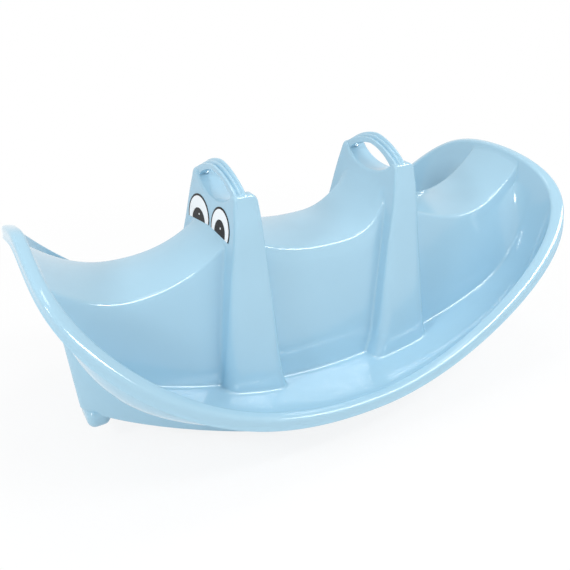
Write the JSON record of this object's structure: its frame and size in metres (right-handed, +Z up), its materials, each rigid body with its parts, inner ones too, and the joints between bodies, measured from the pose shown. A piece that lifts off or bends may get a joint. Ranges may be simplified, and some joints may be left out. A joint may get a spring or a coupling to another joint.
{
  "type": "rocking toy",
  "caption": "Three-seat rocking crocodile in moulded plastic: a long scooped top with a central ridge, two handle posts and eye stickers, on a curved rocker base.",
  "frame": {"origin": "on the floor, under the middle of the toy's length and width, at the height of the rocker's lowest line", "axes": "+X from the nose to the tail, +Y across the toy, +Z up"},
  "size_m": [1, 0.521, 0.4805],
  "materials": {
    "body_shell": "glossy",
    "rocker_base": "glossy",
    "end_stop": "satin",
    "eye_sticker": "satin print, white with a black outline and pupil",
    "screw": "plated"
  },
  "bodies": {
    "root": {"body_shell": "body_shell", "rocker_base": "rocker_base", "front_end_stop": "end_stop", "rear_end_stop": "end_stop", "left_eye_sticker": "eye_sticker", "right_eye_sticker": "eye_sticker", "base_screw_1": "screw", "base_screw_2": "screw", "base_screw_3": "screw", "base_screw_4": "screw", "base_screw_5": "screw", "base_screw_6": "screw", "base_screw_7": "screw", "base_screw_8": "screw"}
  },
  "joints": []
}
